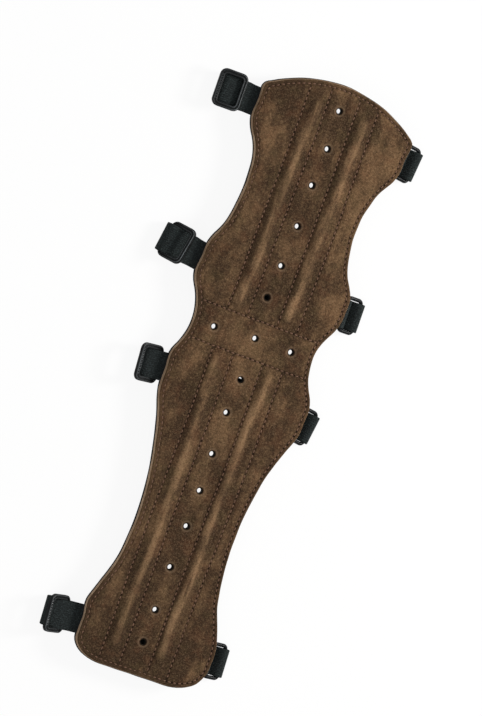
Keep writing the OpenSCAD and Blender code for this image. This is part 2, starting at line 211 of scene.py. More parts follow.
def drawn_out(bm, edges):
    """Grows a skin from a loop to a copy of it, and gives the copy's vertices and edges."""
    made = bmesh.ops.extrude_edge_only(bm, edges=edges)["geom"]
    return only(BMVert, made), only(BMEdge, made)


def rounded_loop(bm, long, wide, corner, segments):
    """A loop of edges round a rectangle with rounded corners."""
    bmesh.ops.create_grid(bm, x_segments=1, y_segments=1, size=0.5)
    bmesh.ops.scale(bm, vec=(long, wide, 1), verts=bm.verts)
    bmesh.ops.bevel(bm, geom=bm.verts[:], offset=corner, segments=segments, profile=0.5, affect="VERTICES",
                    material=-1)
    bmesh.ops.delete(bm, geom=bm.faces[:], context="FACES_ONLY")


def round_edges(bm, edges, offset):
    bmesh.ops.bevel(bm, geom=edges, offset=offset, segments=2, profile=0.5, affect="EDGES", material=-1)


def upright(right, up, back, place):
    """A matrix whose axes are three directions, standing at a place."""
    matrix = Matrix((right, up, back)).transposed().to_4x4()
    matrix.translation = place
    return matrix


def stretched(place, size, turn=0, pole="Y"):
    """Lays a round shape's pole flat, stretches it, and turns it in plan at a place."""
    turned = Matrix.Translation(place) @ Matrix.Rotation(turn, 4, "Z")
    return turned @ Matrix.Diagonal((*size, 1)) @ Matrix.Rotation(pi / 2, 4, pole)


def evenly(start, end, count):
    return [start + (end - start) * i / count for i in range(count + 1)]


def bare_tree(owner):
    owner.use_nodes = True
    owner.node_tree.nodes.clear()
    return owner.node_tree


def feed(node, sockets):
    """Fills a node's sockets, in order or by name, with values or outputs."""
    for key, value in sockets.items() if isinstance(sockets, dict) else enumerate(sockets):
        if isinstance(value, bpy.types.NodeSocket):
            node.id_data.links.new(value, node.inputs[key])
        else:
            node.inputs[key].default_value = value


def add_node(tree, kind, sockets=(), **settings):
    """Makes a node, and gives its outputs."""
    node = tree.nodes.new("ShaderNode" + kind)
    for name, value in settings.items():
        setattr(node, name, value)
    feed(node, sockets)
    return node.outputs


# Camera and light
def aim_camera():
    tilt = radians(VIEW_TILT)
    across_view = Vector((cos(tilt), 0, sin(tilt)))
    back = Vector((-sin(tilt), 0, cos(tilt)))
    along_view = Vector((0, 1, 0))
    right = VIEW_ALONG * across_view + VIEW_ACROSS * along_view
    up = -VIEW_ACROSS * across_view + VIEW_ALONG * along_view
    data = bpy.data.cameras.new("photo_view")
    data.sensor_fit = "VERTICAL"
    data.sensor_height = SENSOR
    data.lens = SENSOR * VIEW_FAR / (PICTURE_TALL / PIXELS_TO_METRE)
    middle = Vector((GUARD_MIDDLE, (VIEW_MIDDLE_Y - GUARD_LONG / 2) * MM, SUEDE_TOP * MM))
    middle -= VIEW_MIDDLE_X * MM * across_view
    camera = new_object("photo_view", data)
    camera.matrix_world = upright(right, up, back, [m + VIEW_FAR * b for m, b in zip(middle, back)])
    bpy.context.scene.camera = camera


def soft_lamp(name, toward, far, size, power, tint):
    data = bpy.data.lights.new(name, "AREA")
    data.shape = "DISK"
    data.size = size
    data.energy = power
    data.color = tint
    lamp = new_object(name, data)
    direction = Vector(toward).normalized()
    lamp.location = direction * far
    lamp.rotation_mode = "QUATERNION"
    lamp.rotation_quaternion = direction.to_track_quat("Z", "Y")


def see_white(tree):
    """One where the camera, a reflection or a clear surface looks, else nothing."""
    rays = add_node(tree, "LightPath")
    seen = rays["Is Camera Ray"]
    for ray in ("Is Glossy Ray", "Is Transmission Ray"):
        seen = add_node(tree, "Math", (seen, rays[ray]), operation="MAXIMUM")[0]
    return seen


def light_studio():
    world = bpy.data.worlds.new("studio")
    bpy.context.scene.world = world
    tree = bare_tree(world)
    lit = add_node(tree, "Background", (WHITE, 0.42))[0]
    seen = add_node(tree, "Background", (WHITE, 1))[0]
    mixed = add_node(tree, "MixShader", (see_white(tree), lit, seen))[0]
    add_node(tree, "OutputWorld", (mixed,))
    soft_lamp("window_light", (0.86, 0.42, 0.62), 1.6, 0.5, 27, (1, 0.98, 0.95))
    soft_lamp("fill_light", (-0.5, -0.6, 1), 1.8, 1.2, 5, (0.95, 0.97, 1))


def lay_floor():
    material = bpy.data.materials.new("white_floor")
    tree = bare_tree(material)
    paper = add_node(tree, "BsdfDiffuse", ((0.9, 0.9, 0.9, 1),))[0]
    glow = add_node(tree, "Emission", (WHITE,))[0]
    share = add_node(tree, "Math", (see_white(tree), 0.91), operation="MULTIPLY")[0]
    mixed = add_node(tree, "MixShader", (share, paper, glow))[0]
    add_node(tree, "OutputMaterial", (mixed,))
    bm = bmesh.new()
    bmesh.ops.create_grid(bm, x_segments=1, y_segments=1, size=6)
    bmesh.ops.translate(bm, verts=bm.verts, vec=(0, 0, -0.0003))
    floor = new_object("floor", mesh_of("floor", bm))
    floor.data.materials.append(material)


# Outline
def smooth(t):
    t = min(max(t, 0), 1)
    return t * t * (3 - 2 * t)


def bump_at(distance, width):
    return exp(-((distance / width) ** 2))


def uneven(x, y, seed):
    return noise.noise(Vector((x, y, seed)))


def along_line(points, y):
    """A measure given at points up the guard, eased between them."""
    for (y0, value0), (y1, value1) in zip(points, points[1:]):
        if y < y1:
            return value0 + (value1 - value0) * smooth((y - y0) / (y1 - y0))
    return points[-1][1]


def side_half(y):
    if y < WRIST_CORNER_TALL:
        turn = 1 - max(y, 0) / WRIST_CORNER_TALL
        return EDGE_HALF[3] - WRIST_CORNER_WIDE * (1 - sqrt(1 - turn * turn))
    for (x0, y0, bow), (x1, y1, _) in zip(SIDE_POINTS, SIDE_POINTS[1:]):
        if y <= y1:
            break
    if not bow:
        return x0 + (x1 - x0) * (y - y0) / (y1 - y0)
    chord = hypot(x1 - x0, y1 - y0)
    radius = chord ** 2 / (8 * abs(bow)) + abs(bow) / 2
    side = 1 if bow > 0 else -1
    off = side * (radius - abs(bow)) / chord
    centre_x = (x0 + x1) / 2 + (y1 - y0) * off
    centre_y = (y0 + y1) / 2 - (x1 - x0) * off
    return centre_x - side * sqrt(max(0, radius ** 2 - (y - centre_y) ** 2))


def half_wide(y):
    """Half the guard's width, with its corners eased."""
    if not EASED_FROM <= y <= EASED_TO:
        return side_half(y)
    reach = 5 * smooth(min(y - EASED_FROM, EASED_TO - y) / 6)
    return sum(side_half(y + reach * step) for step in (-1, -0.5, 0, 0.5, 1)) / 5


def edge_at(side, y):
    """Where the hand-cut edge runs on one side."""
    return side * (half_wide(y) + along_line(LEFT_CUT if side < 0 else RIGHT_CUT, y))


def shoulder_curve(x):
    across = min(abs(x), SHOULDER_CORNER)
    return sqrt(max(0, SHOULDER_RADIUS ** 2 - across ** 2)) - (SHOULDER_RADIUS - SHOULDER_RISE)


def corner_rows(degrees):
    """Rows up the rounded corners of the wrist end."""
    return [WRIST_CORNER_TALL * (1 - cos(radians(a))) for a in range(0, 90, degrees)]


def outline_points():
    """The cut edge as a closed line, from the wrist end up the right side and round."""
    rows = corner_rows(2) + evenly(WRIST_CORNER_TALL, SHOULDER_ROW, 680)
    right = [(edge_at(1, y), y) for y in rows]
    left = [(edge_at(-1, y), y) for y in reversed(rows)]
    top = [(x, SHOULDER_ROW + shoulder_curve(x)) for x in evenly(right[-1][0], left[0][0], 180)[1:-1]]
    bottom = [(x, 0) for x in evenly(left[-1][0], right[0][0], 90)[1:-1]]
    return [Vector(p) for p in right + top + left + bottom]


OUTLINE = outline_points()
OUTWARD = []
for i in range(len(OUTLINE)):
    way = OUTLINE[(i + 2) % len(OUTLINE)] - OUTLINE[i - 2]
    OUTWARD.append(Vector((way.y, -way.x)).normalized())


def tree_of(points):
    tree = kdtree.KDTree(len(points))
    for i, point in enumerate(points):
        tree.insert((*point, 0), i)
    tree.balance()
    return tree


OUTLINE_TREE = tree_of(OUTLINE)


def from_edge(x, y):
    """How far a point lies inside the edge, and which outline point is nearest."""
    index = OUTLINE_TREE.find((x, y, 0))[1]
    return (OUTLINE[index] - Vector((x, y))).dot(OUTWARD[index]), index


# Seams and heights
def spaced(points, pitch):
    """Points at even distances round a closed line."""
    points = points + points[:1]
    runs = [0]
    for a, b in zip(points, points[1:]):
        runs.append(runs[-1] + (b - a).length)
    count = max(2, round(runs[-1] / pitch))
    found, at = [], 0
    for i in range(count):
        want = runs[-1] * i / count
        while at < len(runs) - 2 and runs[at + 1] < want:
            at += 1
        share = (want - runs[at]) / max(runs[at + 1] - runs[at], 1e-9)
        found.append(points[at].lerp(points[at + 1], min(max(share, 0), 1)))
    return found


def edge_seam_line():
    """The line of the edge seam, its corners eased."""
    inside = [p - n * SEAM_INSET for p, n in zip(OUTLINE, OUTWARD)]
    line = spaced([p for p in inside if from_edge(p.x, p.y)[0] > SEAM_INSET - 0.12], 1)
    for _ in range(3):
        line = [(line[i - 1] + 2 * line[i] + line[(i + 1) % len(line)]) / 4 for i in range(len(line))]
    return line


EDGE_SEAM = spaced(edge_seam_line(), STITCH_PITCH)
SEAM_TREE = tree_of(spaced(EDGE_SEAM, STITCH_PITCH / SEAM_STEPS))


def wander(x, y):
    """How far a hand-guided row strays sideways."""
    return 0.55 * uneven(0.03 * x, 0.016 * y, 3.1) + 0.25 * uneven(0.2 * x, 0.07 * y, 8.4)


def row_places(y):
    """Where the rows of stitches run beside the ridges, wider towards the shoulder."""
    left = -16.1 + 0.9 * smooth((y - 225) / 120)
    right = 14.7 + 1.7 * smooth((y - 20) / 140)
    return [left - 6.7, left + 6.5, right - 6.5, right + 6.7]


def stitch_row(first, last, **where):
    """A row of stitches at about their usual pitch."""
    count = round((last - first) / STITCH_PITCH)
    return {"first": first, "last": last, "count": count, "pitch": (last - first) / count, **where}


def lengthwise_rows():
    """The eight rows beside the ridges, four on each panel."""
    rows = []
    for number, x in enumerate(row_places(350)):
        top = SHOULDER_ROW + shoulder_curve(x) - SEAM_INSET - ROW_GAP
        rows.append(stitch_row(SEAM_INSET + ROW_GAP, CROSS_SEAMS[0] - ROW_GAP, number=number))
        rows.append(stitch_row(CROSS_SEAMS[1] + ROW_GAP, top, number=number))
    return rows


ROW_LINES = lengthwise_rows()
CROSS_LINES = [
    stitch_row(edge_at(-1, row) + SEAM_INSET + CROSS_GAP, edge_at(1, row) - SEAM_INSET - CROSS_GAP, row=row)
    for row in CROSS_SEAMS
]


def seam_at(x, y, inside):
    """How far off the nearest seam a point lies, and how many stitches along it."""
    best = (9, 0)
    for line in ROW_LINES:
        if line["first"] - 0.5 < y < line["last"] + 0.5:
            place = row_places(y)[line["number"]]
            off = x - place - wander(place, y)
            if abs(off) < abs(best[0]):
                best = (off, (y - line["first"]) / line["pitch"])
    for line in CROSS_LINES:
        off = y - line["row"] - wander(x, line["row"])
        if abs(off) < abs(best[0]) and inside > SEAM_INSET - 0.5:
            best = (off, (x - line["first"]) / line["pitch"])
    if abs(inside - SEAM_INSET) < abs(best[0]):
        best = (inside - SEAM_INSET, SEAM_TREE.find((x, y, 0))[1] / SEAM_STEPS)
    return best


def ridge_half(side, y):
    return RIDGE_HALF[side] + (0.7 if side > 0 and y > 200 else 0)


def ridge_share(x, y):
    """One on a ridge's crest, falling to nothing at the seams beside it."""
    share = 0
    for first, last, rise, fall in RIDGE_ENDS:
        if first - 4 < y < last + 4:
            ends = smooth((y - first) / rise) * smooth((last - y) / fall)
            for side in (-1, 1):
                off = abs(x - along_line(CRESTS[side], y)) / ridge_half(side, y)
                if off < 1:
                    high = 0.86 if side < 0 and y < 200 else 1
                    share = max(share, high * ends * (0.5 + 0.5 * cos(pi * off)) ** 0.8)
    return share


def valley_dirt_and_shade_share(x, y):
    """One at the foot of a ridge, where the nap lies flat and dirt gathers, and where shade is painted in."""
    share = 0
    for first, last, _, _ in RIDGE_ENDS:
        if first - 14 < y < last + 14:
            ends = smooth((y - first + 12) / 14) * smooth((last + 12 - y) / 14)
            for side in (-1, 1):
                off = abs(x - along_line(CRESTS[side], y)) - ridge_half(side, y) - 0.6
                share = max(share, ends * bump_at(off, 3))
    for row in CROSS_SEAMS:
        share = max(share, 0.7 * bump_at(y - row, 2.4))
    return share


def nap_turned(x, y):
    """How handling has darkened or lightened a point."""
    return sum(amount * bump_at(hypot((x - across) / wide, (y - along) / long), 1)
               for across, along, wide, long, amount in NAP_MARKS)


def lie(x, y):
    """The guard lies a little unevenly between its straps."""
    held = 1
    for row in STRAP_ROWS:
        held *= 1 - 0.85 * bump_at(y - row, 16)
    return 0.5 * held * uneven(0.021 * x, 0.017 * y, 5.7)


def seam_depth(off, run):
    """How far a seam pulls the suede down, most where the needle went through."""
    pull = 0.75 + 0.25 * cos(2 * pi * run)
    return 0.4 * pull * bump_at(off, 1)


def vent_off(x, y):
    """How far outside the nearest vent's rim a point lies."""
    return min(hypot(x - vent_x, y - vent_y) for vent_x, vent_y in VENTS) - VENT_RADIUS


def vent_depth(x, y):
    """How far a punch pressed the suede down."""
    if any(abs(y - vent_y) < 7 and abs(x - vent_x) < 7 for vent_x, vent_y in VENTS):
        return 0.5 * bump_at(vent_off(x, y), 1.5)
    return 0


def suede_top(x, y, inside):
    high = SUEDE_TOP + lie(x, y) + RIDGE_HIGH * 0.97 * ridge_share(x, y)
    high -= seam_depth(*seam_at(x, y, inside)) + vent_depth(x, y)
    high -= 0.3 * bump_at(max(inside, 0), 0.7)
    high += 0.16 * uneven(0.11 * x, 0.07 * y, 1.3) + 0.07 * uneven(0.4 * x, 0.33 * y, 6.2)
    return high


def suede_low(x, y, inside):
    return SUEDE_LOW + lie(x, y) + RIDGE_HIGH * 0.9 * ridge_share(x, y)


def flat_height(height):
    return lambda x, y, inside: height + lie(x, y)


# Finishing a piece
def finish_piece(name, bm, materials, smooth_angle=40):
    """Turns millimetres on the flat guard into the frame's metres, and links the piece."""
    for edge in bm.edges:
        edge.smooth = edge.calc_face_angle(0) < radians(smooth_angle)
    for face in bm.faces:
        face.smooth = True
    bmesh.ops.transform(bm, matrix=TO_FRAME, verts=bm.verts)
    piece = new_object(name, mesh_of(name, bm))
    for material in materials:
        piece.data.materials.append(material)
    return piece


def pattern_of(piece):
    """Keeps each point's place on the flat guard, so that the grain stays put in a bend."""
    values = []
    for vertex in piece.data.vertices:
        values += [vertex.co.x / MM - GUARD_MIDDLE / MM, vertex.co.y / MM + GUARD_LONG / 2, vertex.co.z / MM]
    piece.data.attributes.new("pattern", "FLOAT_VECTOR", "POINT").data.foreach_set("vector", values)
    return list(zip(values[::3], values[1::3]))


def bend_at_elbow(piece):
    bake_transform(piece)


# Sheets of the panel
GRID_STRAIGHT, GRID_EDGE = 24, 15
BULGE_FROM = 296
EDGE_BAND = 6
WALL_STEEP = 0.35
SHEET_ROUND = 0.28


def sheet_rows(step):
    sides = evenly(WRIST_CORNER_TALL, SHOULDER_BEND, round((SHOULDER_BEND - WRIST_CORNER_TALL) / step))
    return corner_rows(8) + sides + evenly(SHOULDER_BEND, SHOULDER_ROW, 6)[1:]


def spread_grid(bm, step):
    """A grid pulled out to the outline: straight in its middle, and along the edges further out."""
    inner, outer = round(GRID_STRAIGHT / step), round(GRID_EDGE / step)
    columns = inner + outer
    rows = sheet_rows(step)
    bmesh.ops.create_grid(bm, x_segments=2 * columns, y_segments=len(rows) - 1, size=1)
    for vertex in bm.verts:
        column = round(vertex.co.x * columns)
        row = rows[round((vertex.co.y + 1) / 2 * (len(rows) - 1))]
        side = -1 if column < 0 else 1
        half = abs(edge_at(side, row))
        straight = min(GRID_STRAIGHT, half - EDGE_BAND)
        column = abs(column)
        if column <= inner:
            x = straight * column / inner
        else:
            x = straight + (half - straight) * (column - inner) / outer
        bulge = smooth((row - BULGE_FROM) / (SHOULDER_ROW - BULGE_FROM))
        vertex.co = (side * x, row + bulge * shoulder_curve(x), 0)


def punch_vents(bm, radius):
    for vent_x, vent_y in VENTS:
        centre = Vector((vent_x, vent_y, 0))
        near = [f for f in bm.faces if (f.calc_center_median() - centre).length < 3.6]
        edges = list({e for f in near for e in f.edges})
        bmesh.ops.subdivide_edges(bm, edges=edges, cuts=1, use_grid_fill=True)
        inside = [v for v in bm.verts if (v.co - centre).length < radius * 0.86]
        bmesh.ops.delete(bm, geom=inside, context="VERTS")
        for vertex in bm.verts:
            away = vertex.co - centre
            if vertex.is_boundary and away.length < 3.4:
                vertex.co = centre + away.normalized() * radius


def suede_marks(x, y):
    """What the suede's finish needs to know of a point."""
    inside = max(from_edge(x, y)[0], 0)
    off, run = seam_at(x, y, inside)
    return {"edge_in": inside, "seam_off": off, "seam_run": run, "seam_near": 1 if abs(off) < 2.4 else 0,
            "nap": nap_turned(x, y), "crest": ridge_share(x, y), "valley_dirt_and_shade": valley_dirt_and_shade_share(x, y),
            "vent_off": vent_off(x, y)}


def sheet_piece(name, step, overhang, ragged, low, high, materials, detailed=False):
    """A sheet between two heights, with materials for its faces, cut edge and vent walls."""
    bm = bmesh.new()
    spread_grid(bm, step)
    punch_vents(bm, VENT_RADIUS if detailed else VENT_LOW_RADIUS)
    inside_by = {}
    for vertex in bm.verts:
        inside, index = from_edge(*vertex.co.xy)
        near = OUTLINE[index]
        stray = overhang + ragged * uneven(near.x * 0.09, near.y * 0.09, 2 + overhang)
        push = OUTWARD[index] * (stray * smooth(1 - inside / EDGE_BAND))
        vertex.co.x += push.x
        vertex.co.y += push.y
        inside_by[vertex] = inside
    below = list(bm.verts)
    for vertex in raised_copy(bm):
        vertex.co.z = high(*vertex.co.xy, max(from_edge(*vertex.co.xy)[0], 0))
    for vertex in below:
        vertex.co.z = low(*vertex.co.xy, inside_by[vertex])
        for vent_x, vent_y in VENTS if detailed else ():
            away = Vector((vertex.co.x - vent_x, vertex.co.y - vent_y, 0))
            if away.length < VENT_RADIUS + 0.05:
                vertex.co -= away.normalized() * (away.length - VENT_LOW_RADIUS)
    bmesh.ops.recalc_face_normals(bm, faces=bm.faces)
    rims = [e for e in bm.edges if len({abs(f.normal.z) < WALL_STEEP for f in e.link_faces}) == 2]
    for face in bm.faces:
        if abs(face.normal.z) < WALL_STEEP:
            middle = face.calc_center_median()
            face.material_index = 2 if vent_off(middle.x, middle.y) < 1 else 1
    round_edges(bm, rims, SHEET_ROUND)
    piece = finish_piece(name, bm, materials)
    places = pattern_of(piece)
    if detailed:
        marks = [suede_marks(x, y) for x, y in places]
        for label in marks[0]:
            values = [mark[label] for mark in marks]
            piece.data.attributes.new(label, "FLOAT", "POINT").data.foreach_set("value", values)
    bend_at_elbow(piece)
    return piece


# Thread
def sew(bm, holes, height, thick, closed):
    """Stitches lying between needle holes, each a short fat dash of thread."""
    for a, b in zip(holes, holes[1:] + holes[:1] if closed else holes[1:]):
        middle = (a + b) / 2
        way = b - a
        turn = atan2(way.y, way.x) + 0.16 * uneven(middle.x * 1.7, middle.y * 1.7, 4)
        place = (middle.x, middle.y, height(middle.x, middle.y))
        matrix = stretched(place, (STITCH_LONG, STITCH_WIDE, thick), turn)
        bmesh.ops.create_uvsphere(bm, u_segments=6, v_segments=4, radius=0.5, matrix=matrix)


def seam_lines():
    """Needle holes along every row inside the edge seam."""
    lines = []
    for line in ROW_LINES + CROSS_LINES:
        runs = [line["first"] + i * line["pitch"] for i in range(line["count"] + 1)]
        if "number" in line:
            places = [row_places(y)[line["number"]] for y in runs]
            lines.append([Vector((x + wander(x, y), y)) for x, y in zip(places, runs)])
        else:
            lines.append([Vector((x, line["row"] + wander(x, line["row"]))) for x in runs])
    return lines


def thread_piece(name, height, thick, material):
    whole = bmesh.new()
    for holes, closed in [(EDGE_SEAM, True)] + [(line, False) for line in seam_lines()]:
        part = bmesh.new()
        sew(part, holes, height, thick, closed)
        add_shape(whole, part)
    piece = finish_piece(name, whole, [material], 80)
    bend_at_elbow(piece)
    return piece


# Elastic straps and tabs
def edge_place(k, side):
    """Where a strap crosses an edge of the guard, with X along the strap to the right."""
    rise, slant = (LEFT_RISE, LEFT_SLANT) if side < 0 else (RIGHT_RISE, RIGHT_SLANT)
    place = Matrix.Translation((side * EDGE_HALF[k], STRAP_ROWS[k] + rise[k], 0))
    return place @ Matrix.Rotation(radians(slant[k]), 4, "Z")


def inner_rod(k):
    """How far outside the edge a ring's inner rod lies."""
    return RING_REACH[k] - RING_SPAN * cos(RING_PITCH)


def arc(centre_x, centre_z, radius, start, end, steps):
    """Side view of a turn after its first point, by angles up from the right."""
    turns = [radians(a) for a in evenly(start, end, steps)[1:]]
    return [(centre_x + radius * cos(a), centre_z + radius * sin(a)) for a in turns]


def straight(*corners, step=1.6):
    """Side view of a run through some corners, after the first."""
    points = []
    for start, end in zip(corners, corners[1:]):
        count = max(1, round(hypot(end[0] - start[0], end[1] - start[1]) / step))
        points += list(zip(evenly(start[0], end[0], count), evenly(start[1], end[1], count)))[1:]
    return points


def webbing(name, stations, wide, material):
    """Flat elastic drawn along stations, each a place and the ways along, across and out of it."""
    bm = bmesh.new()
    along_layer = bm.verts.layers.float.new("along")
    across_layer = bm.verts.layers.float.new("across")
    rounded_loop(bm, wide, STRAP_THICK, STRAP_THICK * 0.42, 3)
    bmesh.ops.subdivide_edges(bm, edges=[e for e in bm.edges if e.calc_length() > wide / 2], cuts=7)
    start_edges = edges = list(bm.edges)
    rows = [upright([a * share for a in across], out, ahead, point)
            for point, ahead, across, out, share in stations]
    for vertex in bm.verts:
        vertex[across_layer] = vertex.co.x
    bmesh.ops.transform(bm, matrix=rows[0], verts=bm.verts)
    run = 0
    for before, after in zip(rows, rows[1:]):
        verts, edges = drawn_out(bm, edges)
        bmesh.ops.transform(bm, matrix=after @ before.inverted(), verts=verts)
        run += (after.translation - before.translation).length
        for vertex in verts:
            vertex[along_layer] = run
    bmesh.ops.contextual_create(bm, geom=start_edges)
    bmesh.ops.contextual_create(bm, geom=edges)
    bmesh.ops.recalc_face_normals(bm, faces=bm.faces)
    return finish_piece(name, bm, [material], 50), run


def stations_from(place, side_points, near, full, nudge=0):
    """Stations along a side view at one edge, fuller and nudged over where near says."""
    stations = []
    for i, (x, z) in enumerate(side_points):
        (x0, z0), (x1, z1) = side_points[max(i - 1, 0)], side_points[min(i + 1, len(side_points) - 1)]
        length = hypot(x1 - x0, z1 - z0)
        ahead = Vector(((x1 - x0) / length, 0, (z1 - z0) / length))
        out = Vector((-ahead.z, 0, ahead.x))
        turn = place.to_3x3()
        share = near(x)
        point = place @ Vector((x, nudge * share, z))
        across = Vector((0, 1, 0))
        stations.append((point, turn @ ahead, turn @ across, turn @ out, 1 + (full - 1) * share))
    return stations


def hidden_run(start, start_way, end, end_way, count=44):
    """Stations of one easy curve behind the guard."""
    span = (end - start).length
    up = Vector((0, 0, 1))

    def mixed(a, b, c, d):
        return a * start + b * span * start_way + c * end + d * span * end_way

    stations = []
    for i in range(1, count):
        t = i / count
        point = mixed(2 * t ** 3 - 3 * t ** 2 + 1, t ** 3 - 2 * t ** 2 + t,
                      -2 * t ** 3 + 3 * t ** 2, t ** 3 - t ** 2)
        ahead = mixed(6 * t * t - 6 * t, 3 * t * t - 4 * t + 1, -6 * t * t + 6 * t, 3 * t * t - 2 * t)
        ahead.normalize()
        stations.append((point, ahead, up.cross(ahead), up, 1))
    return stations


def strap_stations(k):
    """From the seam under the left edge, round the fold, behind the guard and round the ring."""
    fold = FOLD_RADIUS - FOLD_REACH[k]
    fold_radius = FOLD_RADIUS - HALF_THICK
    seam = (SEAM_LONG, UNDER_EDGE)
    left_side = [seam] + straight(seam, (fold, UNDER_EDGE))
    left_side += arc(fold, UNDER_EDGE - fold_radius, fold_radius, 90, 270, 18)
    left_side += straight((fold, HALF_THICK), (SEAM_LONG, HALF_THICK))
    left = stations_from(edge_place(k, -1), left_side, lambda x: smooth((-x - 4) / 4),
                         FOLD_WIDE / STRAP_WIDE)
    loop_radius = LOOP_OUT - HALF_THICK
    reach = RING_REACH[k]
    low = STRAP_THICK + HALF_THICK + 0.03
    right_side = [(-SEAM_LONG, HALF_THICK)] + straight((-SEAM_LONG, HALF_THICK), (reach, HALF_THICK))
    right_side += arc(reach, LOOP_OUT, loop_radius, -90, 90, 14)
    right_side += straight((reach, LOOP_OUT + loop_radius), (reach - 1.6, LOOP_OUT + loop_radius - 0.35),
                           (reach - 5.4, low), (reach - 8, low), step=0.8)
    right = stations_from(edge_place(k, 1), right_side, lambda x: smooth((x - reach + 15) / 6),
                          TAB_WIDE[k] / STRAP_WIDE, TAB_NUDGE[k])
    return left + hidden_run(*left[-1][:2], *right[0][:2]) + right


def tab_stations(k):
    """From the seam under the right edge, round the ring's inner rod and back."""
    inner = inner_rod(k)
    centre = LINING_LOW - TAB_LOOP_OUT
    radius = TAB_LOOP_OUT - HALF_THICK
    sewn = inner - 2 * TAB_LOOP_OUT
    low = centre - radius
    back = LINING_LOW - STRAP_THICK - HALF_THICK - 0.08
    side = [(sewn - TAB_SEAM_LONG, UNDER_EDGE)]
    side += straight(side[0], (inner, UNDER_EDGE)) + arc(inner, centre, radius, 90, -90, 14)
    side += straight((inner, low), (inner - 1.6, low + 0.35), (sewn, back), step=0.8)
    side += straight((sewn, back), (sewn - TAB_SEAM_LONG, back), step=0.9)
    return stations_from(edge_place(k, 1), side, lambda x: 1, 1, TAB_NUDGE[k])


# Buckles and rings
def buckle_bmesh(rub_and_glint_side):
    """A slide buckle lying flat, its middle bar across the origin, its rims rubbed and painted lighter most
    along one outer bar, as wear and a painted highlight.
    """
    bm, window = bmesh.new(), bmesh.new()
    rounded_loop(bm, BUCKLE_LONG, BUCKLE_WIDE, BUCKLE_CORNER, 6)
    rounded_loop(window, BUCKLE_LONG - 2 * BUCKLE_BAR, BUCKLE_WIDE - 2 * BUCKLE_BAR, WINDOW_CORNER, 6)
    add_shape(bm, window)
    bmesh.ops.bridge_loops(bm, edges=bm.edges[:])
    bmesh.ops.translate(bm, verts=bm.verts, vec=(0, 0, -BUCKLE_THICK / 2))
    for face in bm.faces:
        if face.normal.z > 0:
            face.normal_flip()
    bmesh.ops.translate(bm, verts=raised_copy(bm), vec=(0, 0, BUCKLE_THICK))
    bmesh.ops.recalc_face_normals(bm, faces=bm.faces)
    # A raised bead round the frame's face, which rubs and is painted lighter, as wear and a painted highlight
    upper = [f for f in bm.faces if f.normal.z > 0.9]
    for width, rise, rub_and_glint in ((0.5, 0, 0), (0.18, 0.34, 1), (0.24, 0, 1), (0.14, -0.34, 0)):
        band = bmesh.ops.inset_region(bm, faces=upper, thickness=width, depth=rise, use_even_offset=True)
        for face in band["faces"]:
            face.material_index = rub_and_glint
    round_edges(bm, [e for e in bm.edges if e.calc_face_angle(0) > radians(50)], 0.16)
    place = stretched((0, 0, LOW_BAR_MIDDLE), (LOW_BAR_WIDE, 1, LOW_BAR_THICK), pole="X")
    bmesh.ops.create_cone(bm, cap_ends=True, segments=20, radius1=0.5, radius2=0.5, depth=LOW_BAR_LONG,
                          matrix=place)
    height = -LOW_BAR_MIDDLE - 0.3
    for side in (-1, 1):
        verts = bmesh.ops.create_cube(bm, size=1)["verts"]
        bmesh.ops.scale(bm, vec=(LOW_BAR_WIDE, CHEEK_THICK, height), verts=verts)
        bmesh.ops.translate(bm, vec=(0, side * CHEEK_OUT, LOW_BAR_MIDDLE + height / 2), verts=verts)
        top = [v for v in verts if v.co.z > LOW_BAR_MIDDLE + height / 2]
        bmesh.ops.scale(bm, vec=(2, 1, 1), verts=top)
        round_edges(bm, list({e for v in verts for e in v.link_edges}), 0.2)
    rub_and_glint_layer = bm.verts.layers.float.new("rub_and_glint")
    most = 0.88 if rub_and_glint_side > 0 else 0.5
    for vertex in bm.verts:
        vertex[rub_and_glint_layer] = 0.12 + most * smooth((vertex.co.x * rub_and_glint_side - 3.5) / 3)
    # Grip ribs on the outer bar, in the lighter plastic, as wear and a painted highlight
    for i in range(RIB_COUNT):
        place = (-BUCKLE_LONG / 2 + BUCKLE_BAR / 2, (i - (RIB_COUNT - 1) / 2) * RIB_PITCH, BUCKLE_THICK / 2)
        matrix = stretched(place, RIB_SIZE, radians(RIB_TURN))
        rib = bmesh.ops.create_uvsphere(bm, u_segments=8, v_segments=6, radius=0.5, matrix=matrix)
        for vertex in rib["verts"]:
            vertex[rub_and_glint_layer] = 0.25
            for face in vertex.link_faces:
                face.material_index = 1
    return bm


def buckle_place(k):
    lean = radians(BUCKLE_LEAN[k])
    strap_room = STRAP_THICK / (2 * cos(lean))
    seat = LOW_BAR_TOP + SEAT_PLAY + strap_room + LOW_BAR_WIDE / 2 * tan(abs(lean))
    place = edge_place(k, -1) @ Matrix.Translation((-BUCKLE_REACH[k], 0, LINING_LOW - HALF_THICK))
    place = place @ Matrix.Rotation(radians(BUCKLE_TURN[k]), 4, "Z") @ Matrix.Rotation(lean, 4, "Y")
    return place @ Matrix.Translation((0, 0, -seat))


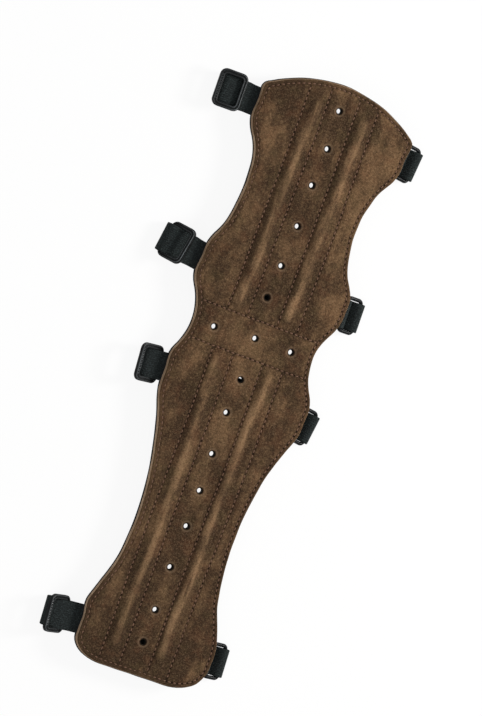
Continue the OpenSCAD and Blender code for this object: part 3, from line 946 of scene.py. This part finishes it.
def ring_bmesh():
    """Round rod bent to a rectangle, from the middle of its inner rod outwards."""
    bm = bmesh.new()
    bmesh.ops.create_circle(bm, cap_ends=False, segments=20, radius=ROD_RADIUS)
    bmesh.ops.rotate(bm, verts=bm.verts, cent=(0, 0, 0), matrix=Matrix.Rotation(pi / 2, 3, "X"))
    edges = bm.edges[:]
    half_rod = RING_WIDE / 2 - ROD_RADIUS
    position = Vector((0, -half_rod + RING_CORNER, 0))
    bmesh.ops.translate(bm, verts=bm.verts, vec=position)
    heading = Vector((0, 1, 0))
    for length in [2 * (half_rod - RING_CORNER), RING_SPAN - 2 * RING_CORNER] * 2:
        verts, edges = drawn_out(bm, edges)
        bmesh.ops.translate(bm, verts=verts, vec=heading * length)
        right = Vector((heading.y, -heading.x, 0))
        centre = position + heading * length + right * RING_CORNER
        corner = bmesh.ops.spin(bm, geom=edges, cent=centre, axis=(0, 0, 1), angle=-pi / 2, steps=8,
                                use_merge=False)
        edges = only(BMEdge, corner["geom_last"])
        position = centre + heading * RING_CORNER
        heading = right
    bmesh.ops.remove_doubles(bm, verts=bm.verts, dist=0.02)
    bmesh.ops.recalc_face_normals(bm, faces=bm.faces)
    return bm


def ring_place(k):
    place = edge_place(k, 1) @ Matrix.Translation((inner_rod(k), 0, LINING_LOW - LOOP_OUT))
    return place @ Matrix.Rotation(RING_PITCH, 4, "Y")


# Finishes
SHADER_SOCKETS = {
    "rough": "Roughness", "metal": "Metallic", "specular": "Specular IOR Level",
    "sheen": "Sheen Weight", "sheen_rough": "Sheen Roughness", "sheen_tint": "Sheen Tint",
}


def shade(hex_code):
    """The colour that a hex code shows on screen, as the shader wants it."""
    values = [int(hex_code[i:i + 2], 16) / 255 for i in (1, 3, 5)]
    return (*(v / 12.92 if v <= 0.04045 else ((v + 0.055) / 1.055) ** 2.4 for v in values), 1)


class Maker:
    """Writes a finish: a first colour, others painted over it by shares, and a bump."""

    def __init__(self, name):
        self.material = bpy.data.materials.new(name)
        self.tree = bare_tree(self.material)
        self.shader = self.node("BsdfPrincipled")[0]
        self.node("OutputMaterial", (self.shader,))

    def node(self, kind, sockets=(), **settings):
        return add_node(self.tree, kind, sockets, **settings)

    def math(self, operation, *values, **settings):
        return self.node("Math", values, operation=operation, **settings)[0]

    def times(self, product, *others):
        for other in others:
            product = self.math("MULTIPLY", product, other)
        return product

    def weigh(self, *pairs):
        """The sum of some values, each times its weight."""
        parts = [self.times(value, weight) for value, weight in pairs]
        total = parts[0]
        for part in parts[1:]:
            total = self.math("ADD", total, part)
        return total

    def wave(self, value, pitch):
        return self.math("SINE", self.times(value, 2 * pi / pitch))

    def attribute(self, name, output="Fac"):
        return self.node("Attribute", attribute_name=name)[output]

    def across_and_along(self):
        return self.node("SeparateXYZ", (self.place,))[:2]

    def noise(self, scale, detail, rough, stretch=None, warp=0):
        """Noise at the finish's place, which may be stretched first."""
        place = self.place
        if stretch:
            place = self.node("Mapping", {"Vector": place, "Scale": stretch})[0]
        return self.node("TexNoise", {"Vector": place, "Scale": scale, "Detail": detail, "Roughness": rough,
                                      "Distortion": warp})["Fac"]

    def ramp(self, value, low, high, to_low=0, to_high=1):
        """Goes smoothly from one share to another as the value goes from low to high."""
        sockets = (value, low, high, to_low, to_high)
        return self.node("MapRange", sockets, interpolation_type="SMOOTHSTEP")[0]

    def start(self, share, dark, light):
        """The finish's first colour, between two of them."""
        self.color = shade(dark)
        self.paint(share, light)

    def paint(self, share, color):
        sockets = {"Factor": share, 6: self.color, 7: shade(color)}
        self.color = self.node("Mix", sockets, data_type="RGBA")[2]

    def finish(self, height, depth, strength, **values):
        """Sets the shader's colour, bump and other values, and hands the material over."""
        bump = self.node("Bump", {"Strength": strength, "Distance": depth, "Height": height})[0]
        sockets = {SHADER_SOCKETS[key]: value for key, value in values.items()}
        feed(self.shader.node, {"Base Color": self.color, "Normal": bump, **sockets})
        return self.material


def on_pattern(name):
    """A finish that lies on the flat guard's pattern, in millimetres."""
    m = Maker(name)
    m.place = m.attribute("pattern", "Vector")
    return m


def on_piece(name):
    """A finish that lies on the piece's own place, in metres."""
    m = Maker(name)
    m.place = m.node("TexCoord")["Object"]
    return m


def seam_masks(m):
    """Where the seams sink the surface, and where the needle went through."""
    off, near = m.math("ABSOLUTE", m.attribute("seam_off")), m.attribute("seam_near")
    away = m.math("ABSOLUTE", m.math("SUBTRACT", m.math("FRACT", m.attribute("seam_run")), 0.5))
    seam = m.times(m.ramp(off, 0.2, 1.3, 1, 0), near)
    hole = m.times(m.ramp(off, 0.25, 0.62, 1, 0), m.ramp(away, 0.28, 0.36), near)
    return seam, hole


def suede_finish():
    m = on_pattern("brown_suede")
    x, y = m.across_and_along()
    edge_in, vent = m.attribute("edge_in"), m.attribute("vent_off")
    patches = m.noise(0.05, 3, 0.6, (1, 0.62, 1))
    streaks = m.noise(0.2, 3, 0.6, (1, 0.14, 1), 0.5)
    mottle = m.noise(0.24, 4, 0.66)
    grain = m.noise(0.85, 3, 0.75)
    fibre = m.noise(2.2, 2, 0.7, (1, 0.7, 1))
    # The nap's lights and darks
    lean = m.times(m.ramp(x, 18, 36), m.ramp(y, 200, 262, -1, 1))
    tone = m.weigh((patches, 0.66), (streaks, 0.17), (mottle, 0.17), (lean, 0.06),
                   (m.ramp(y, 15, 80, 0.055, 0), -1), (m.attribute("nap"), 1))
    m.start(m.ramp(tone, 0.41, 0.65), "#38291d", "#71573e")
    # Dirt and painted shade in the valleys, wear and a painted highlight on the crests, and rusty and
    # greenish tints
    m.paint(m.times(m.attribute("valley_dirt_and_shade"), m.ramp(mottle, 0.3, 0.6, 0.6, 0.34)), "#33251a")
    # The crests are painted lighter, as worn nap and as a painted highlight
    crest_wear_and_highlight = m.times(m.ramp(m.attribute("crest"), 0.35, 0.95), m.ramp(streaks, 0.36, 0.56, 0.3, 1),
                   m.ramp(patches, 0.38, 0.56, 0.4, 1), 0.66)
    m.paint(crest_wear_and_highlight, "#957657")
    rust = m.noise(0.11, 3, 0.6)
    m.paint(m.ramp(rust, 0.5, 0.68, 0, 0.3), "#61402d")
    m.paint(m.ramp(rust, 0.34, 0.48, 0.26, 0), "#4b4029")
    # Single tufts and fibres
    m.paint(m.ramp(grain, 0.3, 0.54, 0.52, 0), "#20160e")
    m.paint(m.times(m.ramp(grain, 0.49, 0.76, 0, 0.5), m.ramp(tone, 0.4, 0.54, 0.55, 1)), "#937657")
    m.paint(m.ramp(fibre, 0.28, 0.5, 0.4, 0), "#20160e")
    m.paint(m.ramp(fibre, 0.52, 0.74, 0, 0.3), "#a58a6c")
    # Edge, seams, needle holes and vents; the needle holes and the dark vent rims are painted shade
    m.paint(m.times(m.ramp(edge_in, 1.6, 3.6, 1, 0), 0.3), "#33251a")
    m.paint(m.times(m.ramp(edge_in, 0, 0.35, 1, 0), 0.55), "#8a6c50")
    seam, hole = seam_masks(m)
    m.paint(m.times(seam, 0.3), "#2c1f16")
    # Needle holes are painted near black as painted shade, more or less at random, and more along the edge
    # seam
    luck = m.ramp(m.noise(0.42, 1, 0.5), 0.36, 0.6, 0.22, 0.78)
    luck = m.math("ADD", luck, m.ramp(edge_in, 2.5, 4, 0.35, 0), use_clamp=True)
    m.paint(m.times(hole, luck), "#150d08")
    m.paint(m.times(m.ramp(vent, 0.4, 0.8), m.ramp(vent, 1, 2, 0.3, 0)), "#86705a")
    # A dark ring at each vent's rim is painted shade
    m.paint(m.ramp(vent, 0, 0.45, 0.96, 0), "#100e0b")
    height = m.weigh((fibre, 0.35), (grain, 0.8), (mottle, 0.5), (seam, -0.4), (hole, -1.2))
    return m.finish(height, 0.0005, 0.9, rough=0.96, sheen=0.06, sheen_rough=0.6, sheen_tint=shade("#c9b196"),
                    specular=0.06)


def cut_edge_finish():
    m = on_pattern("raw_tan_edge")
    layers = m.noise(2.4, 3, 0.6, (0.12, 0.12, 1))
    grain = m.noise(1.3, 3, 0.6)
    # The tan is painted lighter than the leather's own, as painted light, so that an edge facing away from
    # the lamp still shows light tan
    m.start(m.ramp(layers, 0.35, 0.65), "#a08770", "#cdb396")
    m.paint(m.ramp(m.noise(0.09, 2, 0.5), 0.4, 0.7, 0, 0.45), "#7c6450")
    m.paint(m.ramp(grain, 0.3, 0.5, 0.35, 0), "#5e4937")
    return m.finish(m.weigh((layers, 1), (grain, 0.8)), 0.0003, 0.9, rough=0.9, specular=0.1)


def vent_wall_shade_finish():
    m = on_pattern("vent_wall_painted_shade")
    # Painted shade: the vent walls are near black for the shade inside the holes, lifted a little towards the
    # grey-green of the lit elastic behind them
    layers = m.noise(2, 3, 0.6, (0.3, 0.3, 1))
    m.start(layers, "#0c0e0e", "#1d2121")
    return m.finish(layers, 0.0002, 0.8, rough=0.8, specular=0.02)


def flesh_side_finish():
    m = on_pattern("leather_flesh_side")
    grain = m.noise(0.8, 4, 0.65)
    m.start(grain, "#7b6048", "#a58565")
    return m.finish(grain, 0.0003, 0.8, rough=0.92, specular=0.2)


def lining_finish():
    m = on_pattern("black_lining_cloth")
    x, y = m.across_and_along()
    weave = m.times(m.wave(x, 0.85), m.wave(y, 0.85))
    fuzz = m.noise(1.6, 3, 0.6)
    m.start(m.ramp(weave, -0.8, 0.8), "#131415", "#26282a")
    m.paint(m.ramp(fuzz, 0.45, 0.75, 0, 0.5), "#3a3c3e")
    m.paint(m.ramp(m.noise(0.05, 3, 0.55), 0.5, 0.75, 0, 0.35), "#34322f")
    return m.finish(m.weigh((weave, 1), (fuzz, 0.9)), 0.00012, 0.9, rough=0.9, specular=0.1)


def elastic_finish():
    m = Maker("black_woven_elastic")
    along, across = m.attribute("along"), m.attribute("across")
    m.place = m.node("CombineXYZ", (along, across))[0]
    ribs = m.wave(across, 1.25)
    weave = m.times(m.wave(along, 0.62), m.math("SIGN", ribs))
    fuzz = m.noise(1.1, 3, 0.75)
    lint = m.noise(2, 2, 0.7, (0.45, 1, 1))
    m.start(m.ramp(weave, -1, 1), "#1a1d1d", "#292d2d")
    m.paint(m.ramp(ribs, -1, -0.4, 0.35, 0), "#101313")
    m.paint(m.ramp(fuzz, 0.5, 0.66, 0, 0.6), "#3d4646")
    m.paint(m.ramp(lint, 0.56, 0.72, 0, 0.55), "#566161")
    m.paint(m.ramp(fuzz, 0.34, 0.46, 0.55, 0), "#111313")
    m.paint(m.ramp(m.noise(0.16, 3, 0.55), 0.45, 0.75, 0, 0.3), "#2b3131")
    return m.finish(m.weigh((weave, 0.5), (ribs, 0.8), (fuzz, 0.9)), 0.00012, 0.9, rough=0.9, specular=0.08)


def thread_finish(name, dark, light):
    m = on_piece(name)
    twist = m.noise(2600, 2, 0.6)
    m.start(m.ramp(twist, 0.35, 0.65), dark, light)
    m.paint(m.ramp(m.noise(90, 2, 0.5), 0.4, 0.7, 0, 0.5), light)
    return m.finish(twist, 0.00012, 0.7, rough=0.6, specular=0.2)


def plastic_finish(name, dark, light, gloss, rub_and_glint=None):
    m = on_piece(name)
    grain = m.noise(1900, 3, 0.6)
    cloud = m.noise(130, 3, 0.5)
    scuff = m.noise(700, 2, 0.7, (1, 0.25, 1))
    m.start(m.ramp(cloud, 0.35, 0.7), dark, light)
    if rub_and_glint:
        # Rims painted lighter, partly wear and partly a painted highlight
        m.paint(m.times(m.attribute("rub_and_glint"), m.ramp(cloud, 0.3, 0.6, 0.45, 1)), rub_and_glint)
    m.paint(m.ramp(scuff, 0.58, 0.8, 0, 0.4), "#3c4142")
    rough = m.ramp(grain, 0.3, 0.7, 0.26, 0.42)
    return m.finish(m.weigh((grain, 1), (scuff, 0.3)), 0.00004, 0.8, rough=rough, specular=gloss)


def enamel_finish():
    m = on_piece("black_enamelled_wire")
    drag = m.noise(600, 3, 0.6)
    m.start(m.ramp(drag, 0.4, 0.7), "#0b0c0d", "#1b1d1f")
    m.paint(m.ramp(m.noise(260, 4, 0.65), 0.66, 0.74, 0, 0.7), "#3b3f42")
    return m.finish(drag, 0.00003, 0.6, rough=m.ramp(drag, 0.3, 0.7, 0.2, 0.36), specular=0.07)


def stay_finish():
    m = on_piece("bright_spring_steel")
    brushed = m.noise(2200, 2, 0.6, (1, 0.02, 1))
    m.start(brushed, "#8f9396", "#c6cacd")
    return m.finish(brushed, 0.00002, 0.5, metal=1, rough=m.ramp(brushed, 0.3, 0.7, 0.25, 0.45))


# The guard
aim_camera()
light_studio()
lay_floor()

tan_edge = cut_edge_finish()
vent_wall_shade = vent_wall_shade_finish()
lining_cloth = lining_finish()
elastic = elastic_finish()
brown_thread = thread_finish("brown_thread", "#4c3527", "#80604c")
plastic = plastic_finish("black_moulded_plastic", "#0a0b0c", "#141617", 0.1)
rub_and_glint_plastic = plastic_finish("black_plastic_rub_and_glint", "#121415", "#1c1f20", 0.25, "#5b6062")
enamel = enamel_finish()
steel = stay_finish()

suede = sheet_piece("suede_sheet", 1, 0, 0.25, suede_low, suede_top,
                    [suede_finish(), tan_edge, vent_wall_shade], True)
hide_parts("face_forearm", "face_elbow", "face_upper")

backing = sheet_piece("leather_backing", 1.5, 0.25, 0.3, flat_height(BACKING_LOW),
                      flat_height(SUEDE_LOW - LAYER_GAP), [flesh_side_finish(), tan_edge, vent_wall_shade])
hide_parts("backing_forearm", "backing_elbow", "backing_upper")

lining = sheet_piece("lining_sheet", 1.3, 0.7, 0.3, flat_height(LINING_LOW),
                     flat_height(BACKING_LOW - LAYER_GAP), [lining_cloth, lining_cloth, vent_wall_shade])
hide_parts("lining_forearm", "lining_elbow", "lining_upper")

thread_top = thread_piece("seam_thread_top", lambda x, y: suede_top(x, y, from_edge(x, y)[0]) + 0.05, 0.55,
                          brown_thread)
thread_under = thread_piece("seam_thread_under", lambda x, y: LINING_LOW + lie(x, y) - 0.02, 0.4,
                            brown_thread)

for k, name in enumerate(STRAP_NAMES):
    strap, strap_long = webbing(name + "_strap", strap_stations(k), STRAP_WIDE, elastic)
    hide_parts("strap_" + name)
    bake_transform(strap)

    tab, tab_long = webbing(name + "_tab", tab_stations(k), TAB_WIDE[k], elastic)
    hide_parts("ring_tab_" + name)
    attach(tab, PANELS[k])

    bm = buckle_bmesh(1 if k < 2 else -1)
    bmesh.ops.transform(bm, matrix=buckle_place(k), verts=bm.verts)
    buckle = finish_piece(name + "_buckle", bm, [plastic, rub_and_glint_plastic], 35)
    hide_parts("buckle_" + name)
    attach(buckle, "buckle_" + name)

    bm = ring_bmesh()
    bmesh.ops.transform(bm, matrix=ring_place(k), verts=bm.verts)
    ring = finish_piece(name + "_ring", bm, [enamel], 60)
    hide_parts("ring_" + name)
    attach(ring, "ring_" + name)

for node in ("stay_forearm_left", "stay_forearm_right", "stay_upper_left", "stay_upper_right"):
    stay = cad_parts[node]
    stay.data.materials.clear()
    stay.data.materials.append(steel)

bpy.context.scene.view_settings.view_transform = "Standard"
